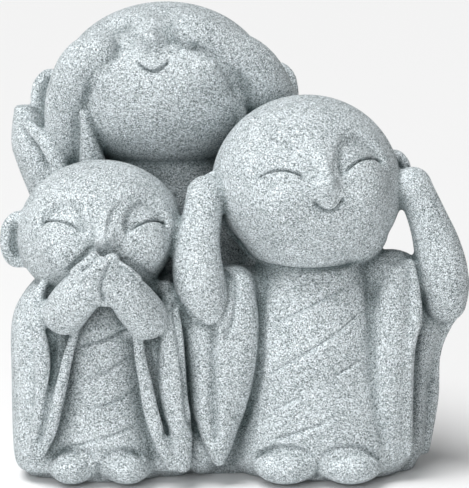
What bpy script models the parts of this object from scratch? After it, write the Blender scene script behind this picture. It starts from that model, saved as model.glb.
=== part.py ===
"""Three little monks, cast as one garden statue: one covers the eyes, one the ears and one the mouth.

Run with: blender --background --python part.py
The front is -Y, +Z is up and the statue stands on Z = 0, centred on the Z axis.
"""

import math
from functools import partial

import bmesh
import bpy
import numpy as np
from mathutils import Euler, Matrix, Vector
from mathutils.bvhtree import BVHTree

STATUE_HEIGHT = 0.227  # ground to the crown of the tallest monk
DRAWN_HEIGHT = 227.0  # the same height in the units that every figure below is drawn in
UNIT = STATUE_HEIGHT / DRAWN_HEIGHT  # so one unit is a millimetre at the real size

CLAY_GRAIN = 1.35  # voxel of the cast, in units
CAST_TRIANGLES = 6500  # before the creases are cut

# Faces: angles in degrees from the front of a head, x to the viewer's right, y up
EYE_Y = 20.0
EYE_HALF_LENGTH = 16.0
EYE_SAG = 5.6
MOUTH_Y = -9.0
MOUTH_HALF_LENGTH = 9.0
MOUTH_SAG = 8.0
NOSE_Y = 8.0
CHEEK_Y = -4.0

# Creases: half the width of the gouge, and the share of it that stays outside the skin
EYE_GOUGE = 1.3
MOUTH_GOUGE = 1.5
GOWN_GOUGE = 1.5
HEM_GOUGE = 2.2
FOLD_GOUGE = 2.6
GOUGE_LIFT = 0.35
GOUGE_STEP = 4.5

# Heads: eggs with a turn about x, y and z, how far each eye sits from the middle of the face,
# and how far the jaw swells on either side
SPEAKER_HEAD = {
    "centre": (-65, -47, 122), "radii": (40, 38, 34.5), "turn": (4, 1, 5),
    "eye_x": 33.5, "jaw": (1.5, -4),
}
HEARER_HEAD = {
    "centre": (33.5, -35, 142.6), "radii": (46, 43, 44), "turn": (0, -5, 13),
    "eye_x": 28.5, "jaw": (-2.5, 1.5),
}
SEER_HEAD = {
    "centre": (-36.5, 15, 185), "radii": (53, 46, 42), "turn": (-24, -4, -3.5),
    "eye_x": 27.5, "jaw": (1.5, 1.5),
}

# The wrapped gowns: the front edge of every lap, as points across (x, z)
SPEAKER_LAPS = (
    ((-74, 70.5), (-65.5, 72.5), (-57, 76), (-52.5, 78.5)),
    ((-76.5, 53), (-70, 55.5), (-62.5, 58), (-50, 66)),
    ((-82.5, 35.5), (-69.5, 40), (-59.5, 43), (-48, 49.5)),
    ((-86, 20.5), (-72.5, 24.5), (-58.5, 28.5), (-48, 33)),
)
HEARER_LAPS = (
    ((19, 80.5), (30, 86), (42, 92), (54.5, 97)),
    ((17, 56), (30, 65), (47, 75.5), (59, 84)),
    ((15, 37), (30.5, 46), (47, 55.5), (60, 63)),
    ((19, 25), (30.5, 29.5), (44.5, 35), (62, 44.5)),
)
FRONT_FOLDS = (
    ((-11.5, 74), (-11, 64), (-11, 51), (-10.5, 34.5), (-9.5, 22)),
    ((13, 96), (13, 80), (11.5, 60), (7.5, 40), (2, 24)),
)
BACK_FOLDS = (
    ((-70, 132), (-73, 92), (-74, 50), (-76, 18)),
    ((-47, 128), (-48, 88), (-46, 46), (-48, 16)),
    ((-22, 132), (-21, 94), (-19, 52), (-17, 18)),
    ((36, 92), (38, 66), (37, 40), (39, 16)),
    ((59, 90), (60, 62), (58, 36), (60, 14)),
)
FEET = ((-79.4, 12.4), (-53, 12.8), (23.8, 16.2), (55, 16.2))  # middle and half width of each foot
FOOT_TOP = 20.5


def start_fresh():
    """Empties the scene and makes the statue's collection."""
    for obj in list(bpy.data.objects):
        bpy.data.objects.remove(obj)
    statue = bpy.data.collections.new("monk_statue")
    bpy.context.scene.collection.children.link(statue)
    return statue


def clay_object(name, bm):
    """Makes an object of a bmesh drawn in units."""
    bmesh.ops.recalc_face_normals(bm, faces=bm.faces)
    mesh = bpy.data.meshes.new(name)
    bm.to_mesh(mesh)
    bm.free()
    mesh.transform(Matrix.Scale(UNIT, 4))
    obj = bpy.data.objects.new(name, mesh)
    CLAY.append(obj)
    return obj


def turned(degrees):
    return Euler([math.radians(angle) for angle in degrees]).to_matrix()


def ball(name, centre, radii, turn=(0, 0, 0), relief=None, detail=4):
    """An egg of clay, with relief(x, y) lifting its skin, x and y in degrees from its front."""
    bm = bmesh.new()
    bmesh.ops.create_icosphere(bm, subdivisions=detail, radius=1.0)
    directions = np.array([vert.co.normalized() for vert in bm.verts])
    points = directions * np.array(radii)
    if relief:
        x = np.degrees(np.arctan2(directions[:, 0], -directions[:, 1]))
        y = np.degrees(np.arcsin(np.clip(directions[:, 2], -1, 1)))
        points += directions * relief(x, y)[:, None]
    rotation = turned(turn)
    for vert, point in zip(bm.verts, points):
        vert.co = rotation @ Vector(point) + Vector(centre)
    return clay_object(name, bm)


def rolled(name, points, radii, roundness):
    """A tapering roll along a smooth curve through the points."""
    curve = bpy.data.curves.new(name, "CURVE")
    curve.dimensions = "3D"
    curve.bevel_depth = UNIT
    curve.bevel_resolution = roundness
    curve.resolution_u = 10 if roundness > 1 else 1
    curve.use_fill_caps = True
    spline = curve.splines.new("BEZIER")
    spline.bezier_points.add(len(points) - 1)
    spline.radius_interpolation = "BSPLINE" if roundness > 1 else "LINEAR"
    for knot, point, radius in zip(spline.bezier_points, points, radii):
        knot.co = Vector(point) * UNIT
        knot.radius = radius
        knot.handle_left_type = knot.handle_right_type = "AUTO"
    guide = bpy.data.objects.new(name, curve)
    bpy.context.scene.collection.objects.link(guide)
    bpy.context.view_layer.update()
    evaluated = guide.evaluated_get(bpy.context.evaluated_depsgraph_get())
    roll = bpy.data.objects.new(name + "_roll", bpy.data.meshes.new_from_object(evaluated))
    bpy.data.objects.remove(guide)
    return roll


def limb(name, points, radii):
    """A roll of clay with round ends."""
    CLAY.append(rolled(name, points, radii, 4))
    for end in (0, -1):
        ball(f"{name}_end{end}", points[end], [radii[end]] * 3, detail=3)


def section_at(sections, share):
    """A row part of the way along the sections, on a smooth curve through them."""
    rows = np.array(sections, float)
    place = share * (len(rows) - 1)
    row = min(int(place), len(rows) - 2)
    t = place - row
    before, a, b, after = (rows[min(max(row + k, 0), len(rows) - 1)] for k in (-1, 0, 1, 2))
    start, end = (b - before) / 2, (after - a) / 2
    return (
        (2 * t**3 - 3 * t**2 + 1) * a
        + (t**3 - 2 * t**2 + t) * start
        + (3 * t**2 - 2 * t**3) * b
        + (t**3 - t**2) * end
    )


def cloth(name, sections, boxy=1.0, rings=30, sides=40):
    """A hanging body of cloth through level ovals: (height, centre x, centre y, half width, half depth)."""
    bm = bmesh.new()
    loops = []
    for ring in range(rings + 1):
        z, cx, cy, rx, ry = section_at(sections, ring / rings)
        loop = []
        for side in range(sides):
            across, deep = math.cos(2 * math.pi * side / sides), math.sin(2 * math.pi * side / sides)
            across = math.copysign(abs(across) ** boxy, across)
            deep = math.copysign(abs(deep) ** boxy, deep)
            loop.append(bm.verts.new((cx + rx * across, cy + ry * deep, z)))
        loops.append(loop)
    for low, high in zip(loops, loops[1:]):
        for side in range(sides):
            after = (side + 1) % sides
            bm.faces.new((low[side], low[after], high[after], high[side]))
    bm.faces.new(loops[0][::-1])
    bm.faces.new(loops[-1])
    return clay_object(name, bm)


def bump(x, y, spread_x, spread_y):
    return np.exp(-((x / spread_x) ** 2) - (y / spread_y) ** 2)


def ramp(value, low, high):
    share = np.clip((value - low) / (high - low), 0, 1)
    return share * share * (3 - 2 * share)


def face(x, y, eye_x, jaw, eyes=True):
    """The relief of a plump smiling face: nose, hollows over the closed eyes, round cheeks."""
    lift = 5.5 * bump(x, y - NOSE_Y, 6.5, 6.0)
    lift += 2.6 * bump(x, 0, 5.0, 1.0) * ramp(y, NOSE_Y - 4, NOSE_Y + 4) * (1 - ramp(y, 22, 44))
    lift += np.where(x < 0, jaw[0], jaw[1]) * bump(y + 28, 0, 26, 1.0) * np.sin(np.radians(x)) ** 2
    for side in (-1, 1):
        across = side * x - eye_x
        lid = y - EYE_Y + EYE_SAG * (across / EYE_HALF_LENGTH) ** 2
        cheek = np.hypot(across / 21, (y - CHEEK_Y) / 24)
        lift += 3.4 * (1 - ramp(cheek, 0.1, 1.1)) * (1 - ramp(lid, -1.5, 3.0))
        socket = np.hypot(across / 21.5, (y - EYE_Y + 3) / 23)
        hollow = (1 - ramp(socket, 0.78, 1.0)) * (0.45 + 0.55 * np.clip(socket, 0, 1) ** 2)
        lift -= (4.2 if eyes else 1.0) * hollow * ramp(lid, -3, 1)
    lift += 1.4 * bump(x, y - MOUTH_Y - 5, 10, 5)
    lift += 0.8 * bump(x, y - MOUTH_Y + 8, 9, 5)
    return lift * (np.abs(x) < 90)


def head(name, shape, eyes=True):
    """A head with its face."""
    relief = partial(face, eye_x=shape["eye_x"], jaw=shape["jaw"], eyes=eyes)
    ball(name, shape["centre"], shape["radii"], shape["turn"], relief, 6)


def foot(name, place):
    """The rounded toe of a shoe under the hem."""
    x, half_width = place
    ball(name, (x, -58, FOOT_TOP - 10), (half_width, 19, 10))


def ear(name, head, side, size=1.0, out=0.0, drop=1.0):
    """A rolled rim round a shallow bowl, on the side of a head."""
    rotation = turned(head["turn"])
    centre = Vector(head["centre"])
    root = Vector((side * (head["radii"][0] - 1.0 + out), 1.0, -drop))
    rim = []
    for angle in (125, 90, 50, 10, -30, -70, -110):
        turn = math.radians(angle)
        reach = Vector((side * 6.2 * math.cos(turn), -0.5, 10.5 * math.sin(turn))) * size
        rim.append(rotation @ (root + reach) + centre)
    limb(name, rim, [radius * size for radius in (2.6, 3.0, 3.0, 2.9, 3.0, 3.4, 3.4)])
    bowl = rotation @ (root + Vector((0, size, 0))) + centre
    ball(name + "_bowl", bowl, (6.5 * size, 2.8 * size, 11 * size), head["turn"])


def speaker():
    """The small monk at the front left, with both hands over the mouth."""
    head("speaker_head", SPEAKER_HEAD)
    ear("speaker_ear", SPEAKER_HEAD, -1, 1.05, 0.5, 4)
    cloth(
        "speaker_gown",
        [
            (-3, -66, -38, 26, 12),
            (4, -66, -40, 33, 24),
            (14, -66, -43, 35, 29.5),
            (45, -66, -42, 31, 28.5),
            (75, -66, -42, 28, 25),
            (98, -66, -42, 20, 18),
        ],
    )
    ball("speaker_shoulders", (-66, -41, 90), (31, 22, 14))
    cloth(
        "speaker_left_sleeve",
        [
            (-3, -91, -36, 9, 6),
            (3, -91, -38, 13.5, 15),
            (12, -92, -41, 17, 24),
            (50, -92, -43, 17.5, 25.5),
            (78, -91, -44, 18, 23.5),
            (92, -89, -45, 14, 19),
            (103, -86, -46, 7, 11),
        ],
        0.8,
    )
    limb(
        "speaker_left_cuff_outer",
        [
            (-90, -66, 103),
            (-94, -69, 95),
            (-95, -71, 84),
            (-93, -72, 70),
            (-92, -71, 52),
            (-94, -70, 34),
            (-97, -67, 20),
        ],
        (2.0, 2.8, 3.4, 4.0, 4.4, 4.2, 3.2),
    )
    limb(
        "speaker_left_cuff_inner",
        [(-76, -69, 80), (-80, -72, 67), (-83, -74, 54), (-86, -74, 41), (-89, -73, 29), (-94, -70, 18)],
        (2.0, 2.6, 2.9, 3.0, 2.8, 2.4),
    )
    cloth(
        "speaker_right_sleeve",
        [
            (-3, -34, -34, 9, 6),
            (4, -34, -38, 12, 15),
            (12, -33, -42, 14, 22),
            (50, -36, -44, 14, 25),
            (82, -38, -43, 14, 23),
            (100, -41, -43, 9, 13),
        ],
        0.8,
    )
    limb(
        "speaker_right_cuff_inner",
        [(-47, -71, 82), (-46, -74, 68), (-43, -75, 52), (-40, -75, 37), (-36, -73, 24), (-31, -70, 12)],
        (2.0, 2.8, 3.4, 3.8, 3.6, 2.8),
    )
    limb(
        "speaker_right_cuff_outer",
        [
            (-34, -60, 97),
            (-32, -66, 88),
            (-31, -69, 76),
            (-31, -69, 62),
            (-30, -69, 46),
            (-27, -69, 29),
            (-26, -68, 12),
        ],
        (4.0, 4.4, 5.6, 7.0, 7.0, 6.0, 4.2),
    )
    limb(
        "speaker_left_arm",
        [(-81.5, -73, 87.5), (-76, -80, 95.5), (-69, -86, 103), (-61, -90, 110), (-58, -92, 116)],
        (10.8, 11, 9.8, 7.4, 3.8),
    )
    limb(
        "speaker_left_sleeve_inside",
        [(-85, -59, 98), (-84, -61, 82), (-85, -64, 66), (-87, -66, 52), (-89, -66, 38), (-92, -63, 26)],
        (7, 5, 5.4, 5, 4.6, 4),
    )
    limb("speaker_right_sleeve_inside", [(-41, -57, 96), (-45, -61, 88), (-49, -63, 78)], (6, 6.5, 6))
    limb("speaker_left_thumb", [(-76, -89, 110), (-70, -92, 115), (-66, -92, 119)], (2.2, 2.4, 2.0))
    limb("speaker_left_fingers", [(-70, -92, 108), (-63.5, -94, 114), (-58, -94.5, 114)], (4.5, 4.4, 3.0))
    limb(
        "speaker_right_arm",
        [(-42.5, -73, 85), (-47, -80, 92), (-52, -86, 100), (-58, -91, 107), (-60, -94, 111)],
        (10.5, 11, 9.6, 6.6, 3.6),
    )
    ball("speaker_wrists", (-60, -84, 101), (17, 8.5, 8.5))
    limb("speaker_right_thumb", [(-46, -91, 107), (-50, -94, 111), (-54, -94, 114)], (2.2, 2.4, 2.0))
    foot("speaker_left_foot", FEET[0])
    foot("speaker_right_foot", FEET[1])


def hearer():
    """The monk at the front right, with a hand on each ear."""
    head("hearer_head", HEARER_HEAD)
    ear("hearer_left_ear", HEARER_HEAD, -1)
    ear("hearer_right_ear", HEARER_HEAD, 1)
    cloth(
        "hearer_gown",
        [
            (-3, 41, -33, 34, 13),
            (4, 41, -36, 42, 27),
            (14, 41, -38, 44, 34.5),
            (45, 40, -37, 41, 34.5),
            (78, 38, -36, 36, 32),
            (106, 37, -35, 26, 22),
        ],
    )
    ball("hearer_jaw", (52, -37, 122), (22, 24, 19))
    ball("hearer_left_shoulder", (2, -38, 90), (18, 17, 14))
    ball("hearer_right_shoulder", (75, -34, 95), (18, 16, 16))
    cloth(
        "hearer_left_side",
        [
            (-3, -8, -25, 13, 6),
            (6, -8, -30, 17, 13),
            (16, -7, -34, 18, 18.5),
            (45, -6, -38, 19, 22),
            (82, -6, -42, 19, 22),
            (98, -4, -42, 13, 14),
        ],
        0.8,
    )
    cloth(
        "hearer_left_sleeve",
        [
            (11, -8.5, -62, 2.5, 6),
            (20.5, -9, -59, 7.5, 11),
            (35, -9.3, -56, 12.3, 15),
            (54, -8.6, -54, 15.4, 17.5),
            (73, -8.8, -53, 18, 18.5),
            (90, -9.5, -51, 19.7, 18),
            (101, -7, -49, 15, 13),
            (106, -6, -48, 8, 7),
        ],
        0.85,
    )
    limb(
        "hearer_left_sleeve_fold",
        [(0, -56, 96), (1.5, -59, 80), (0, -61, 60), (-3, -60, 40), (-7, -59, 23)],
        (8.5, 10, 10, 8.6, 5.5),
    )
    limb(
        "hearer_left_arm",
        [
            (-13, -64, 86),
            (-16, -65, 95),
            (-18.4, -65, 106),
            (-18.4, -61, 120),
            (-16.2, -57, 132),
            (-15, -53, 141),
        ],
        (9.5, 12.4, 12.7, 10.6, 9.4, 9.2),
    )
    cloth(
        "hearer_right_panel",
        [
            (-3, 70, -34, 8, 4),
            (5, 71, -39, 11, 11),
            (14, 73, -45, 13, 15.5),
            (45, 73, -48, 13, 18),
            (80, 75, -45, 12, 18),
            (106, 78, -40, 7, 10),
        ],
    )
    cloth(
        "hearer_right_back",
        [
            (-3, 77, -26, 9, 9),
            (6, 79, -27, 12, 13),
            (16, 80, -28, 13, 16),
            (45, 82, -24, 13, 14),
            (80, 87, -24, 16, 13),
            (100, 85, -26, 11, 9),
        ],
    )
    limb(
        "hearer_right_cuff_front",
        [(84, -44, 106), (86, -52, 92), (86, -57, 78), (83, -59, 67), (82, -59, 42), (83, -55, 15)],
        (2.4, 3.0, 3.4, 3.0, 3.0, 2.8),
    )
    limb(
        "hearer_right_cuff_back",
        [(112, -29, 95), (110, -28, 84), (103, -25, 72), (98, -23, 58), (97, -22, 35), (93, -24, 9)],
        (2.6, 3.4, 3.6, 3.6, 3.8, 3.6),
    )
    limb(
        "hearer_right_arm",
        [(102, -37, 86), (101, -37, 95), (98, -38, 111), (91.6, -39, 129.5), (85.2, -39, 143)],
        (10.5, 13.2, 12.3, 9.0, 9.4),
    )
    foot("hearer_left_foot", FEET[2])
    foot("hearer_right_foot", FEET[3])


def seer():
    """The tall monk behind, looking up with both hands over the eyes."""
    head("seer_head", SEER_HEAD, eyes=False)
    ear("seer_left_ear", SEER_HEAD, -1, 1.15, 5, 2)
    ear("seer_right_ear", SEER_HEAD, 1, 1.15, 5, 6)
    cloth(
        "seer_gown",
        [
            (-6, -38, 20, 54, 36),
            (12, -38, 20, 54, 38),
            (60, -38, 20, 52, 37),
            (115, -38, 19, 47, 34),
            (155, -38, 17, 27, 24),
        ],
    )
    cloth(
        "seer_left_sleeve",
        [
            (-6, -80, 18, 14, 18),
            (15, -82, 20, 16, 22),
            (70, -78, 18, 17, 26),
            (105, -78, 16, 17, 25),
            (130, -87, 14, 17, 23),
            (146, -94, 13, 16, 21),
            (158, -98, 12, 15, 18),
            (176, -107, 10, 4, 6),
        ],
    )
    limb(
        "seer_left_cuff",
        [(-108, 9, 172), (-102, -2, 166.5), (-94, -7, 159), (-88, -9, 148), (-86, -8, 137), (-85, -6, 122)],
        (2.4, 3.4, 4.2, 4.8, 5.0, 4.4),
    )
    ball("seer_left_sleeve_inside", (-91, 0, 145), (9, 9, 20))
    cloth(
        "seer_left_lapel",
        [(140, -71, -8, 9, 9), (150, -71, -10, 7, 7.5), (164, -73, -14, 4, 4.5), (177, -75, -18, 1.2, 1.5)],
    )
    cloth(
        "seer_right_sleeve",
        [
            (-6, 4, 20, 14, 18),
            (15, 8, 22, 16, 22),
            (70, 12, 20, 16, 26),
            (130, 16, 16, 15, 24),
            (156, 20, 14, 13, 18),
            (170, 26, 12, 4, 6),
        ],
    )
    cloth(
        "seer_right_lapel",
        [(150, 3, -4, 8, 8), (166, 3, -9, 5.5, 6), (176, 2, -13, 3.4, 4), (185, 1, -16, 1.2, 1.5)],
    )
    limb(
        "seer_left_arm",
        [
            (-86, 4, 148),
            (-84, -1, 161),
            (-83.5, -5, 175.5),
            (-80, -9, 188),
            (-73, -15, 201.5),
            (-66, -19, 206.5),
        ],
        (11, 11, 11.6, 12.6, 12, 8.6),
    )
    limb(
        "seer_right_arm",
        [(18, 4, 174), (13, -2, 186.5), (6, -7, 198), (-6, -13, 207), (-16, -17, 213.5), (-22.5, -19, 216.5)],
        (14, 14.4, 13.2, 11, 10.2, 8.8),
    )
    ball("seer_right_shoulder", (13, -3, 167), (8, 8, 10))


def base():
    """The clay that joins the three gowns low down."""
    cloth(
        "base",
        [(-3, -14, -12, 58, 24), (5, -14, -16, 60, 30), (14, -14, -16, 54, 33), (30, -14, -14, 30, 30)],
        rings=12,
    )
    ball("between_sleeves", (-17, -38, 23), (13, 25, 23))
    cloth(
        "behind_speaker",
        [
            (-3, -84, -14, 22, 12),
            (6, -84, -14, 25, 14),
            (50, -84, -15, 23, 14),
            (72, -81, -17, 18, 12),
            (88, -78, -18, 11, 8),
        ],
        0.8,
    )


def cast(statue):
    """Presses the clay together into one mesh, softened, thinned, creased and cut flat at the ground."""
    bm = bmesh.new()
    for obj in CLAY:
        bm.from_mesh(obj.data)
        bpy.data.objects.remove(obj)
    mesh = bpy.data.meshes.new("monk_statue")
    bm.to_mesh(mesh)
    bm.free()
    cast_object = bpy.data.objects.new("monk_statue", mesh)
    statue.objects.link(cast_object)
    press = cast_object.modifiers.new("press", "REMESH")
    press.mode = "VOXEL"
    press.voxel_size = CLAY_GRAIN * UNIT
    soften = cast_object.modifiers.new("soften", "SMOOTH")
    soften.factor = 0.5
    soften.iterations = 4  # enough to take the edges off
    skin = seen(cast_object)
    thin = cast_object.modifiers.new("thin", "DECIMATE")
    thin.ratio = min(1.0, CAST_TRIANGLES / sum(len(face.vertices) - 2 for face in skin.polygons))
    skin = seen(cast_object)
    cutters = bpy.data.collections.new("cutters")
    bpy.context.scene.collection.children.link(cutters)
    for cutter in (
        gouges("creases", skin, creases()),
        gouges("hems", skin, hems()),
        gouges("folds", skin, folds()),
        ground_cutter(),
    ):
        cutter.hide_render = True
        cutter.display_type = "WIRE"
        cutters.objects.link(cutter)
        cut = cast_object.modifiers.new(cutter.name, "BOOLEAN")
        cut.operation = "DIFFERENCE"
        cut.solver = "EXACT"
        cut.object = cutter
    centre([cast_object, *cutters.objects])
    return cast_object


def centre(objects):
    """Moves the statue, with what cuts it, so that its bounding box is centred on the Z axis."""
    corners = np.array([vert.co for vert in seen(objects[0]).vertices])
    middle = (corners.min(axis=0) + corners.max(axis=0)) / 2
    for obj in objects:
        obj.location.x -= middle[0]
        obj.location.y -= middle[1]


def seen(obj):
    """The mesh of an object with its modifiers so far."""
    bpy.context.view_layer.update()
    return obj.evaluated_get(bpy.context.evaluated_depsgraph_get()).data


def on_head(head, x, y):
    """The front-view place (x, z) of a point on a head's egg."""
    turn_x, turn_y = math.radians(x), math.radians(y)
    level = math.cos(turn_y)
    direction = Vector((math.sin(turn_x) * level, -math.cos(turn_x) * level, math.sin(turn_y)))
    point = turned(head["turn"]) @ (direction * Vector(head["radii"])) + Vector(head["centre"])
    return point.x, point.z


def arc(head, middle_x, middle_y, half_length, sag):
    """A curved line on a head, its ends lower than its middle where sag is positive."""
    shares = (-1, -0.6, -0.2, 0.2, 0.6, 1)
    return [on_head(head, middle_x + share * half_length, middle_y - sag * share**2) for share in shares]


def creases():
    """Every crease: its course across (x, z), the half width of its gouge, and -1 for the front."""
    courses = []
    for head in (SPEAKER_HEAD, HEARER_HEAD):
        for side in (-1, 1):
            courses.append((arc(head, side * head["eye_x"], EYE_Y, EYE_HALF_LENGTH, EYE_SAG), EYE_GOUGE, -1))
    for head in (HEARER_HEAD, SEER_HEAD):
        courses.append((arc(head, 0, MOUTH_Y, MOUTH_HALF_LENGTH, -MOUTH_SAG), MOUTH_GOUGE, -1))
    for lap in SPEAKER_LAPS + HEARER_LAPS:
        courses.append((lap, GOWN_GOUGE, -1))
    return courses


def hems():
    """The lower edge of each gown, arched over the feet."""
    courses = []
    for x, half_width in FEET:
        angles = [math.radians(32 + 23.2 * step) for step in range(6)]
        arch = [(x - half_width * math.cos(a), 3 + (FOOT_TOP - 3) * math.sin(a)) for a in angles]
        courses.append((arch, HEM_GOUGE, -1))
    return courses


def folds():
    """Long hanging folds of the sleeve in front and of the gowns behind."""
    return [(fold, FOLD_GOUGE, -1) for fold in FRONT_FOLDS] + [(fold, FOLD_GOUGE, 1) for fold in BACK_FOLDS]


def gouges(name, skin, courses):
    """Thin closed rolls laid along the skin, one for each course."""
    corners = [vert.co for vert in skin.vertices]
    tree = BVHTree.FromPolygons(corners, [face.vertices for face in skin.polygons])
    bm = bmesh.new()
    for course, half_width, side in courses:
        length = sum(math.dist(a, b) for a, b in zip(course, course[1:]))
        steps = max(4, round(length / (GOUGE_STEP * half_width / GOWN_GOUGE)))
        points, radii = [], []
        for step in range(steps + 1):
            share = step / steps
            x, z = section_at(course, share)
            spot = tree.ray_cast(Vector((x, 200 * side, z)) * UNIT, Vector((0, -side, 0)))[0] / UNIT
            points.append(spot + Vector((0, side * half_width * GOUGE_LIFT, 0)))
            radii.append(half_width * max(0.15, math.sin(math.pi * share)) ** 0.5)
        roll = rolled("gouge", points, radii, 1)
        bm.from_mesh(roll.data)
        bpy.data.objects.remove(roll)
    mesh = bpy.data.meshes.new(name)
    bm.to_mesh(mesh)
    bm.free()
    return bpy.data.objects.new(name, mesh)


def ground_cutter():
    """A block with its top at the ground."""
    bm = bmesh.new()
    bmesh.ops.create_cube(bm, size=1.0)
    mesh = bpy.data.meshes.new("ground")
    bm.to_mesh(mesh)
    bm.free()
    mesh.transform(Matrix.Scale(2 * STATUE_HEIGHT, 4))
    block = bpy.data.objects.new("ground", mesh)
    block.location.z = -STATUE_HEIGHT
    return block


def stone():
    """Pale grey cast stone."""
    material = bpy.data.materials.new("cast_stone")
    material.use_nodes = True
    shader = material.node_tree.nodes["Principled BSDF"]
    shader.inputs["Base Color"].default_value = (0.52, 0.58, 0.60, 1)
    shader.inputs["Roughness"].default_value = 0.85
    shader.inputs["Metallic"].default_value = 0.0
    return material


CLAY = []
collection = start_fresh()
speaker()
hearer()
seer()
base()
monk_statue = cast(collection)
monk_statue.data.materials.append(stone())
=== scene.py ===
import math
from functools import partial

import bmesh
import bpy
import numpy as np
from mathutils import Euler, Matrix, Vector
from mathutils.bvhtree import BVHTree
from mathutils.kdtree import KDTree


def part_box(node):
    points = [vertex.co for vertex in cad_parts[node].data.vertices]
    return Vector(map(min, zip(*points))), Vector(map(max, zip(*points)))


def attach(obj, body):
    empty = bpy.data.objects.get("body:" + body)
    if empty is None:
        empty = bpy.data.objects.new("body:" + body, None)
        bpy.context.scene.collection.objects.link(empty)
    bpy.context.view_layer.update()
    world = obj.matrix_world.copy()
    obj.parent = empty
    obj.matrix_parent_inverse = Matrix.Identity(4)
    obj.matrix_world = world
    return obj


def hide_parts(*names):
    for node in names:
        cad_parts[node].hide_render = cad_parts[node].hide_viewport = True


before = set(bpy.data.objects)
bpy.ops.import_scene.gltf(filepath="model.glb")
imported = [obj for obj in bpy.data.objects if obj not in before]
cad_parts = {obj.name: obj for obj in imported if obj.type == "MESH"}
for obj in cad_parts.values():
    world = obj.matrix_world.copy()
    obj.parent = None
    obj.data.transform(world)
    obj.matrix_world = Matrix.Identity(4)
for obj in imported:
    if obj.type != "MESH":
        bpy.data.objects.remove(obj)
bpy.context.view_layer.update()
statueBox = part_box("monk_statue")
print("frame loaded")

mm = 0.001  # the sculpture is drawn in millimetres, before it is put where the frame has it

clay = {
    "grain": 1.1,  # voxel of the pressed clay
    "softening": 4,  # rounds that take the edges off
    "triangles": 108000,  # before the fine cuts
    "far": 200,  # further out than any of the clay
}
carving = {
    "step": 0.7,  # between two points of a course
    "easing": 6,  # rounds that take the jolts out of a course
    "edge": 0.8,  # longest edge near a narrow cut
    "edgeShare": 0.7,  # the same near a wide one, as a share of its half width
    "fine": 2.2,  # how far from a course the edges are short, in half widths
    "splits": 3,  # times that long edges are split
    "above": 0.75,  # a groove is steeper on its upper side
    "below": 1.25,
    "fade": 0.12,  # share of a course over which a cut comes and goes
    "clear": 8,  # nothing further than this from a course moves
    "settling": 4,  # rounds that even out folded points
    "folded": 0.3,  # a face that leans away from its point by more than this has folded over
    "behind": -0.3,  # and a point that faces away by more than this isn't cut
}
# where the recesses get painted shade: from how hollow the skin is and how much sky the clay hides
recesses = {
    "rounds": 60,  # of smoothing, to find the hollows
    "looks": (5, 20, 59),  # rounds after which the hollows are read
    "full": 3,  # depth of a hollow that counts in full
    "hollowShare": 0.6,
    "reach": 60.0,  # how far off the clay still gives shelter
    "rays": 28,
    "lift": 0.8,  # start of a ray above the skin
    "grazing": 0.15,  # rays flatter than this don't count
    "open": 0.05,  # share of the sky that may be hidden before painted shade starts
    "spreading": 4,  # rounds that blur the shelter
}
stone = {
    "pits": (0.02, 0.028, 0.03, 1),
    "dull": (0.31, 0.365, 0.378, 1),
    "pale": (0.53, 0.585, 0.61, 1),
    "flecks": (0.92, 0.97, 1.0, 1),
    "grain": 2500.0,  # grains to a metre
    "fineGrain": 1.5,  # how much smaller the second grains are
    "coarseShare": 0.55,  # of the speckle comes from the coarse grains
    "clouds": 60.0,  # soft patches to a metre
    "cloudShare": 0.18,
    "relief": 0.0003,  # how far the grains stand out, in metres
    "reliefStrength": 0.45,
    "roughness": 0.82,
    "recessShadeColour": (0.18, 0.23, 0.23, 1),  # painted shade, a dull green: the colour is multiplied by this in the deepest recess
    "recessShadeShare": 0.5,
    "occlusionShade": 2.0,  # how much painted shade darkens the sheltered places
}
lumps = []  # every lump of clay, pressed together later


# keeps one closed lump
def addLump(bm):
    bmesh.ops.recalc_face_normals(bm, faces=bm.faces)
    mesh = bpy.data.meshes.new("lump")
    bm.to_mesh(mesh)
    bm.free()
    lumps.append(mesh)


def turned(degrees):
    return Euler([math.radians(angle) for angle in degrees]).to_matrix()


def ball(centre, radii, turn=(0, 0, 0), relief=None, detail=4):
    bm = bmesh.new()
    bmesh.ops.create_icosphere(bm, subdivisions=detail, radius=1.0)
    directions = np.array([vert.co.normalized() for vert in bm.verts])
    points = directions * np.array(radii)
    if relief:
        x = np.degrees(np.arctan2(directions[:, 0], -directions[:, 1]))
        y = np.degrees(np.arcsin(np.clip(directions[:, 2], -1, 1)))
        points += directions * relief(x, y)[:, None]
    rotation = turned(turn)
    for vert, point in zip(bm.verts, points):
        vert.co = rotation @ Vector(point) + Vector(centre)
    addLump(bm)


# a round bar through points, with a radius at each
def limb(points, radii):
    curve = bpy.data.curves.new("limb", "CURVE")
    curve.dimensions = "3D"
    curve.bevel_depth = 1.0
    curve.bevel_resolution = 5
    curve.resolution_u = 12
    curve.use_fill_caps = True
    spline = curve.splines.new("BEZIER")
    spline.bezier_points.add(len(points) - 1)
    spline.radius_interpolation = "BSPLINE"
    for knot, point, radius in zip(spline.bezier_points, points, radii):
        knot.co = point
        knot.radius = radius
        knot.handle_left_type = knot.handle_right_type = "AUTO"
    guide = bpy.data.objects.new("limb", curve)
    bpy.context.scene.collection.objects.link(guide)
    bpy.context.view_layer.update()
    evaluated = guide.evaluated_get(bpy.context.evaluated_depsgraph_get())
    lumps.append(bpy.data.meshes.new_from_object(evaluated))
    bpy.data.objects.remove(guide)
    bpy.data.curves.remove(curve)
    for end in (0, -1):
        ball(points[end], [radii[end]] * 3, detail=3)


# the row a share of the way down a list of rows, on a smooth curve through them all
def rowAt(rows, share):
    rows = np.array(rows, float)
    place = share * (len(rows) - 1)
    row = min(int(place), len(rows) - 2)
    t = place - row
    before, a, b, after = (rows[min(max(row + k, 0), len(rows) - 1)] for k in (-1, 0, 1, 2))
    start, end = (b - before) / 2, (after - a) / 2
    curve = (2 * t**3 - 3 * t**2 + 1) * a + (t**3 - 2 * t**2 + t) * start
    return curve + (3 * t**2 - 2 * t**3) * b + (t**3 - t**2) * end


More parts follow.
